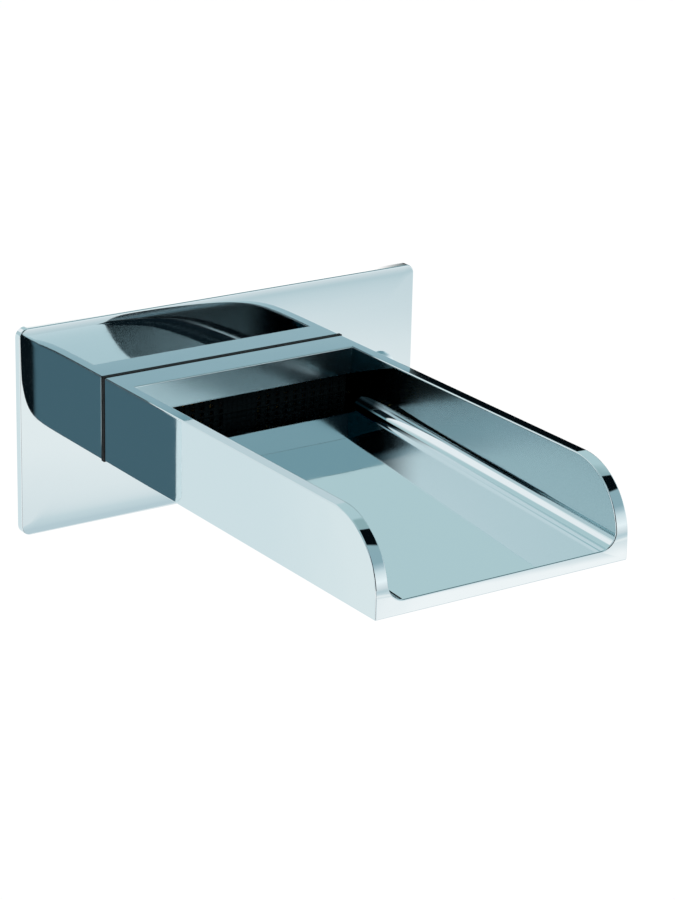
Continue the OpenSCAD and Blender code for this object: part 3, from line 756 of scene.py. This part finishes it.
def wires(long_axis, length, span, sign):
    """One set of wires, laid side by side over a span and bent by the other set."""
    pitch, sums = given["Pitch"], "ShaderNodeMath"
    half = add(weave, sums, {0: length, 1: 0.5}, operation="MULTIPLY")
    less_half = add(weave, sums, {0: half, 1: -1.0}, operation="MULTIPLY")
    pitches = add(weave, sums, {0: span, 1: pitch}, operation="DIVIDE")
    gaps = add(weave, sums, {0: pitches}, operation="ROUND")
    count = add(weave, sums, {0: gaps, 1: 1.0}, operation="ADD")
    breadth = add(weave, sums, {0: gaps, 1: pitch}, operation="MULTIPLY")
    first = add(weave, sums, {0: breadth, 1: -0.5}, operation="MULTIPLY")
    other = "Z" if long_axis == "X" else "X"
    origin = add(weave, "ShaderNodeCombineXYZ", {other: first})
    stride = add(weave, "ShaderNodeCombineXYZ", {other: pitch})
    places = add(weave, "GeometryNodeMeshLine", {
        "Count": count, "Start Location": origin, "Offset": stride})
    end_a = add(weave, "ShaderNodeCombineXYZ", {long_axis: less_half})
    end_b = add(weave, "ShaderNodeCombineXYZ", {long_axis: half})
    straight = add(weave, "GeometryNodeCurvePrimitiveLine", {"Start": end_a, "End": end_b})
    point_gap = add(weave, sums, {0: pitch, 1: 0.25}, operation="MULTIPLY")
    finer = add(weave, "GeometryNodeResampleCurve", {
        "Curve": straight, "Length": point_gap}, mode="LENGTH")
    laid = add(weave, "GeometryNodeInstanceOnPoints", {"Points": places, "Instance": finer})
    real = add(weave, "GeometryNodeRealizeInstances", {"Geometry": laid})

    # Points in the field's corners or outside its disc go, and the rest bend over and under
    at = add(weave, "ShaderNodeSeparateXYZ", {"Vector": add(weave, "GeometryNodeInputPosition")})
    far, squares, bends = [], [], []
    for axis, reach in (("X", given["Width"]), ("Z", given["Height"])):
        there = at.outputs[axis]
        off = add(weave, sums, {0: there}, operation="ABSOLUTE")
        far.append(add(weave, sums, {0: off, 1: given["Corner " + axis]}, operation="GREATER_THAN"))
        squares.append(add(weave, sums, {0: there, 1: 2.0}, operation="POWER"))
        pitches = add(weave, sums, {0: reach, 1: pitch}, operation="DIVIDE")
        steps = add(weave, sums, {0: pitches}, operation="ROUND")
        middle = add(weave, sums, {0: steps, 1: 0.5}, operation="MULTIPLY")
        from_middle = add(weave, sums, {0: there, 1: pitch}, operation="DIVIDE")
        from_first = add(weave, sums, {0: from_middle, 1: middle}, operation="ADD")
        half_turns = add(weave, sums, {0: from_first, 1: math.pi}, operation="MULTIPLY")
        bends.append(add(weave, sums, {0: half_turns}, operation="COSINE"))
    in_corner = add(weave, sums, {0: far[0], 1: far[1]}, operation="MULTIPLY")
    square = add(weave, sums, {0: squares[0], 1: squares[1]}, operation="ADD")
    away = add(weave, sums, {0: square}, operation="SQRT")
    outside = add(weave, sums, {0: away, 1: given["Disc radius"]}, operation="GREATER_THAN")
    gone = add(weave, sums, {0: in_corner, 1: outside}, operation="MAXIMUM")
    kept = add(weave, "GeometryNodeDeleteGeometry", {"Geometry": real, "Selection": gone})
    wave = add(weave, sums, {0: bends[0], 1: bends[1]}, operation="MULTIPLY")
    rise = add(weave, sums, {0: given["Wire"], 1: 0.5 * sign}, operation="MULTIPLY")
    bend = add(weave, sums, {0: wave, 1: rise}, operation="MULTIPLY")
    moved = add(weave, sums, {0: bend, 1: given["Place"]}, operation="ADD")
    lift = add(weave, "ShaderNodeCombineXYZ", {"Y": moved})
    return add(weave, "GeometryNodeSetPosition", {"Geometry": kept, "Offset": lift})


both_ways = add(weave, "GeometryNodeJoinGeometry")
for strand in (
        wires("X", given["Width"], given["Height"], 1),
        wires("Z", given["Height"], given["Width"], -1)):
    weave.links.new(strand.outputs[0], both_ways.inputs[0])
wire_r = add(weave, "ShaderNodeMath", {0: given["Wire"], 1: 0.5}, operation="MULTIPLY")
wire_round = add(weave, "GeometryNodeCurvePrimitiveCircle", {"Resolution": 6, "Radius": wire_r})
wire_mesh = add(weave, "GeometryNodeCurveToMesh", {
    "Curve": both_ways, "Profile Curve": wire_round, "Fill Caps": True})
end_group(weave, wire_mesh, given["Material"])

acetal = black_acetal("Black acetal with painted teal reflection")
screen = grow("mesh_screen_wires", weave, {
    "Width": 90.6 * MM, "Height": 24.6 * MM, "Pitch": 2 * MM, "Wire": 0.3 * MM,
    "Corner X": 38.2 * MM, "Corner Z": 5.2 * MM, "Place": (MESH + 0.3) * MM,
    "Material": acetal})
finish_piece(screen, "acetal", ["mesh_screen"], acetal)


# Strainer
# A disc of woven stainless wire in the tail's mouth, that keeps grit out of the spout.
def drawn_steel(name):
    """Stainless steel wire and screws: grey and satin, with fine marks along Y from the die."""
    material, tree, shader, place = new_surface(name, "#B9BCBE", 1.0, 0.3)
    stretched = add(tree, "ShaderNodeVectorMath", {0: place, 1: (1, 0.05, 1)}, operation="MULTIPLY")
    marks = add(tree, "ShaderNodeTexNoise", {
        "Vector": stretched, "Scale": 1 / (0.2 * MM), "Detail": 2})
    gloss = add(tree, "ShaderNodeMapRange", {
        "Value": marks.outputs["Fac"], "From Min": 0.3, "From Max": 0.7,
        "To Min": 0.24, "To Max": 0.4})
    tree.links.new(gloss.outputs["Result"], shader.inputs["Roughness"])
    return material


steel = drawn_steel("Stainless steel")
strainer = grow("strainer_wires", weave, {
    "Width": 16.4 * MM, "Height": 16.4 * MM, "Pitch": 0.8 * MM, "Wire": 0.25 * MM,
    "Disc radius": 8.2 * MM, "Place": (STRAINER_Y + 0.25) * MM, "Material": steel})
finish_piece(strainer, "steel", ["strainer_mesh"], steel)


# Screws
# Four countersunk M4 machine screws with hexagon sockets hold the trough and its rear cover to the
# plate from behind. A coarser one with a point fixes the plate to a nylon plug in the wall.
KEY, SOCKET_DEPTH = 2.5, 1.3


def countersunk(name, length, head_r, head_t, root_r, crest_r, pitch, point):
    """A screw along Y with its head's face at 0 and its tip at the other end, with rings for its
    thread inside the part."""
    count = 48
    flank, crest = 0.45 * pitch, 0.06 * pitch
    socket = []
    for i in range(count):
        angle = 2 * math.pi * i / count
        from_flat = (angle + math.pi / 6) % (math.pi / 3) - math.pi / 6
        r = KEY / 2 / math.cos(from_flat)
        socket.append((r * math.cos(angle), r * math.sin(angle)))
    profile = [(head_r - 0.15, 0), (head_r, -0.12), (root_r, -head_t)]
    y = -head_t - 0.6
    while y > point - length:
        profile += [(root_r, y + flank), (crest_r, y + crest), (crest_r, y - crest)]
        y -= pitch
    profile += [(root_r, point - length), (root_r / 4, -length)]
    turned_rings = [round_ring(r, y, count=count) for r, y in profile]
    return loft(name, along(socket, -SOCKET_DEPTH, 0) + turned_rings)


# Copies of one screw, set on the points of the piece's own mesh
copies, given = new_group(
    "Screws in their holes", ("Points", "NodeSocketGeometry", None),
    ("Screw", "NodeSocketObject", None), ("Material", "NodeSocketMaterial", None))
one_screw = add(copies, "GeometryNodeObjectInfo", {"Object": given["Screw"]}).outputs["Geometry"]
set_out = add(copies, "GeometryNodeInstanceOnPoints", {
    "Points": given["Points"], "Instance": one_screw})
end_group(copies, set_out, given["Material"])

machine_screw = countersunk(
    "machine_screw", length=14, head_r=4, head_t=2.3, root_r=1.6, crest_r=2, pitch=0.7, point=0.8)
assembly = grow("machine_screws", copies, {"Screw": machine_screw, "Material": steel},
                points=[(x, 0, z) for x, z in SCREWS])
bpy.data.objects.remove(machine_screw)
finish_piece(assembly, "steel", ["assembly_screws"], steel)

HEAD_Y, SCREW_L, POINT_L = -PLATE_T - 2, 40, 5
fixing = countersunk(
    "fixing_screw", SCREW_L, head_r=4, head_t=2, root_r=1.45, crest_r=2, pitch=1.4, point=POINT_L)
fixing.data.transform(
    Matrix.Translation((CAP_X * MM, HEAD_Y * MM, 0)) @ Matrix.Rotation(math.pi, 4, "Z"))
tip = grow("fixing_screw_tip", thread, {
    "Turns": 4.5, "Length": (POINT_L + 0.9) * MM, "Start": (HEAD_Y + SCREW_L - POINT_L - 1.2) * MM,
    "Start radius": 1.42 * MM, "End radius": 0.4 * MM, "Depth": 0.55 * MM, "Half width": 0.35 * MM,
    "Material": steel})
tip.data.transform(Matrix.Translation((CAP_X * MM, 0, 0)))
join(fixing, tip)
finish_piece(fixing, "steel", ["plate_screw"], steel)


# Wall plug
# Moulded nylon with saw-tooth ribs that grip the masonry, and four slits that let the screw
# spread it.
def moulded_nylon(name, colour):
    """Natural nylon from the mould: milky white, with a soft sheen and slight sink marks."""
    material, tree, shader, place = new_surface(name, colour, 0.0, 0.42)
    shader.inputs["Subsurface Weight"].default_value = 0.1
    shader.inputs["Subsurface Scale"].default_value = 0.5 * MM
    sinks = add(tree, "ShaderNodeTexNoise", {"Vector": place, "Scale": 1 / (3 * MM), "Detail": 1})
    bump = add(tree, "ShaderNodeBump", {
        "Height": sinks.outputs["Fac"], "Strength": 0.4, "Distance": 0.05 * MM})
    tree.links.new(bump.outputs["Normal"], shader.inputs["Normal"])
    return material


PLUG_R, PLUG_BORE, PLUG_L, COLLAR_L = 3, 2.05, 30, 4
RIBS, RIB_PITCH, RIB_DEPTH = 12, 2, 0.4
SLIT_L, SLIT_HALF = 24, 0.3
plug_profile = [(PLUG_BORE, 0), (PLUG_R, 0), (PLUG_R, COLLAR_L)]
for i in range(RIBS):
    rib_y = 4.2 + RIB_PITCH * i
    plug_profile += [
        (PLUG_R - RIB_DEPTH, rib_y), (PLUG_R, rib_y + 0.75 * RIB_PITCH),
        (PLUG_R, rib_y + 0.9 * RIB_PITCH)]
plug_profile += [(PLUG_R - 0.5, PLUG_L - 1), (PLUG_R - 0.7, PLUG_L), (PLUG_BORE, PLUG_L)]
plug = turned("nylon_plug", plug_profile, CAP_X, count=64)
for angle in (45, 135):
    slit = loft("slit", along(
        [(-4, -SLIT_HALF), (4, -SLIT_HALF), (4, SLIT_HALF), (-4, SLIT_HALF)],
        PLUG_L - SLIT_L, PLUG_L + 1))
    slit.data.transform(
        Matrix.Translation((CAP_X * MM, 0, 0)) @ Matrix.Rotation(math.radians(angle), 4, "Y"))
    cut(plug, slit)
nylon = moulded_nylon("Natural nylon", "#E4E1D6")
finish_piece(plug, "nylon", ["wall_plug"], nylon)


# Plain mouldings inside
# The nylon cup under the screw cap, and the acetal frame and perforated plate of the screens.
# They lie out of sight, and their solids from the frame are shown as they are.
for node, material in (("cap_base", nylon), ("flow_frame", acetal), ("diffuser_plate", acetal)):
    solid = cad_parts[node].data
    solid.materials.clear()
    solid.materials.append(material)


# Studio
# A pale floor far below the spout and one large soft lamp. The world gives even light, a white
# ground to the camera, and to the metal a room of white, teal and dark panels.
FLOOR_HALF, FLOOR_DROP = 12, 0.4
work = bmesh.new()
bmesh.ops.create_grid(work, x_segments=1, y_segments=1, size=FLOOR_HALF)
bmesh.ops.translate(work, verts=work.verts, vec=(0, 0, -FLOOR_DROP))
mesh = bpy.data.meshes.new("floor")
work.to_mesh(mesh)
work.free()
floor = new_object("floor", mesh)

# To the camera the paper is white, with a faint shadow on it. The metal sees through it.
paper = bpy.data.materials.new("White paper floor")
paper.use_nodes = True
tree = paper.node_tree
tree.nodes.remove(tree.nodes["Principled BSDF"])
rays = add(tree, "ShaderNodeLightPath").outputs
matt = add(tree, "ShaderNodeBsdfDiffuse", {"Color": linear("#F0F0F0")})
whiteness = add(tree, "ShaderNodeMath", {0: rays["Is Camera Ray"], 1: 1.04}, operation="MULTIPLY")
glow = add(tree, "ShaderNodeEmission", {"Color": linear("#FFFFFF"), "Strength": whiteness})
lit = add(tree, "ShaderNodeMixShader", {"Fac": 0.94, 1: matt, 2: glow})
clear = add(tree, "ShaderNodeBsdfTransparent")
seen = add(tree, "ShaderNodeMixShader", {"Fac": rays["Is Glossy Ray"], 1: lit, 2: clear})
tree.links.new(seen.outputs[0], tree.nodes["Material Output"].inputs["Surface"])
floor.data.materials.append(paper)

# The room is drawn by compass angle from the wall's normal and by height, in degrees. Each
# colour is the one that it shows after one reflection in the chrome.
world = bpy.data.worlds.new("studio")
scene.world = world
world.use_nodes = True
tree = world.node_tree
back = tree.nodes["Background"]
way = add(tree, "ShaderNodeTexCoord").outputs["Generated"]
parts = add(tree, "ShaderNodeSeparateXYZ", {"Vector": way}).outputs
turn_in_radians = add(tree, "ShaderNodeMath", {0: parts["X"], 1: parts["Y"]}, operation="ARCTAN2")
turn = add(tree, "ShaderNodeMath", {0: turn_in_radians}, operation="DEGREES")
rise_in_radians = add(tree, "ShaderNodeMath", {0: parts["Z"]}, operation="ARCSINE")
rise = add(tree, "ShaderNodeMath", {0: rise_in_radians}, operation="DEGREES")

# What is behind the panels, from the ground to straight above
heights = [
    (-90, "#B5C9D0"), (-26, "#B3C9D1"), (-22.5, "#C0D4DA"), (-21, "#D2E0E4"),
    (-19.3, "#E2ECEE"), (-18, "#DAE6E9"), (-16.5, "#C2D5DB"), (-13, "#B1C9D0"),
    (-9, "#C9D8DD"), (0, "#E4F2F6"), (8, "#D4E4E9"), (13.5, "#C4D9DF"), (18, "#A6C0C9"),
    (24, "#86A8B2"), (35, "#86A8B2"), (60, "#8AABB2"), (90, "#A9C4CA")]
share = add(tree, "ShaderNodeMapRange", {"Value": rise, "From Min": -90, "From Max": 90})
ramp = add(tree, "ShaderNodeValToRGB", {"Fac": share})
stops = ramp.color_ramp.elements
stops[0].position, stops[1].position = 0, 1
for height, _ in heights[1:-1]:
    stops.new((height + 90) / 180)
for stop, (_, colour) in zip(stops, heights):
    stop.color = linear(colour)

# Each panel's colour, its two angles and its two heights, and how soft it ends in each
panels = [
    # What the lip mirrors, in front and to the right
    ("#EDF4F6", (120, 145.5), (-60, -21.5), 4, 1),
    # What the floor, the bridge and the walls' tops mirror, behind
    ("#A6C5CB", (-60, 90), (5, 90), 12, 12),
    ("#B3CAD1", (-10, 35.5), (17.8, 24), 1, 1),
    ("#FBFEFE", (-10, 35.5), (9, 17.8), 1, 1),
    ("#A9C3CA", (-75, -20), (8, 24.8), 8, 1.5),
    ("#CFE0E4", (-75, -20), (24.8, 45), 8, 2),
    ("#E1EBEF", (-38.5, 2), (24.8, 44), 2, 3),
    ("#88A9AE", (66, 96), (52, 70), 8, 8),
    ("#03090D", (98, 131), (41.5, 60), 3, 2),
    ("#03090D", (35.5, 60), (-12, 21.5), 1, 1),
    # What the left side mirrors
    ("#CADDE2", (-75, 33), (-60, 5), 10, 10),
    ("#D6E5E8", (-75, -34), (-60, 5), 3, 10),
    # What is seen by way of the plate, the bridge or a side wall, in front and to the left
    ("#C8D5DC", (-181, -118), (14.3, 60), 8, 0.8),
    ("#101B21", (-181, -152.6), (14.3, 60), 1.2, 0.4),
    ("#0B1216", (-145.45, -130), (5, 29), 0.3, 3),
    ("#A4BFC6", (-142.9, -118), (14.3, 24.8), 0.9, 0.8),
    ("#C4D3DA", (-140.2, -118), (14.3, 60), 1.5, 0.8),
    ("#0B1216", (-149.5, -139.5), (-10, 12.8), 1, 0.6),
    ("#0B1216", (-181, -149.6), (-10, 17), 0.6, 0.5),
    ("#03090D", (160, 181), (-10, 40), 4, 2),
    ("#F5FBFD", (-150, -108), (-60, -10), 4, 2),
    ("#516E7A", (-160, -144.2), (-60, -10), 0.8, 2),
    ("#0B1318", (-172, -153.2), (-60, -10), 1.2, 2),
    ("#ECF3F5", (-181, -172), (-60, -10), 1.2, 2)]
room = ramp.outputs["Color"]
for colour, turns, rises, soft_turn, soft_rise in panels:
    inside = []
    for angle, edges, soft in ((turn, turns, soft_turn), (rise, rises, soft_rise)):
        past = [add(tree, "ShaderNodeMapRange", {
            "Value": angle, "From Min": edge - soft / 2, "From Max": edge + soft / 2},
            interpolation_type="SMOOTHSTEP") for edge in edges]
        inside.append(add(tree, "ShaderNodeMath", {0: past[0], 1: past[1]}, operation="SUBTRACT"))
    shows = add(tree, "ShaderNodeMath", {0: inside[0], 1: inside[1]}, operation="MULTIPLY")
    room = add(tree, "ShaderNodeMix", {
        "Factor": shows, 6: room, 7: linear(colour)}, data_type="RGBA").outputs[2]
bright = add(tree, "ShaderNodeVectorMath", {0: room, 1: linear(CHROME)[:3]}, operation="DIVIDE")

# Pale light for the rest, the room for metal, and white for the camera
rays = add(tree, "ShaderNodeLightPath").outputs
for_metal = add(tree, "ShaderNodeMix", {
    "Factor": rays["Is Glossy Ray"], 6: linear("#F2F4F5"), 7: bright}, data_type="RGBA")
shown = add(tree, "ShaderNodeMix", {
    "Factor": rays["Is Camera Ray"], 6: for_metal.outputs[2], 7: linear("#FFFFFF")},
    data_type="RGBA")
tree.links.new(shown.outputs[2], back.inputs["Color"])
full = add(tree, "ShaderNodeMath", {
    0: rays["Is Camera Ray"], 1: rays["Is Glossy Ray"]}, operation="MAXIMUM")
strength = add(tree, "ShaderNodeMapRange", {"Value": full, "To Min": 0.7, "To Max": 1.0})
tree.links.new(strength.outputs["Result"], back.inputs["Strength"])

lamp_data = bpy.data.lights.new("soft_lamp", "AREA")
lamp_data.shape = "RECTANGLE"
lamp_data.size, lamp_data.size_y = 1.2, 1.2
lamp_data.energy = 12
lamp = bpy.data.objects.new("soft_lamp", lamp_data)
scene.collection.objects.link(lamp)
lamp_place = Vector((-0.5, -0.7, 1.4))
lamp.matrix_world = (
    Matrix.Translation(lamp_place)
    @ lamp_place.to_track_quat("Z", "Y").to_matrix().to_4x4()
)
lamp.visible_glossy = False

scene.view_settings.view_transform = "Standard"
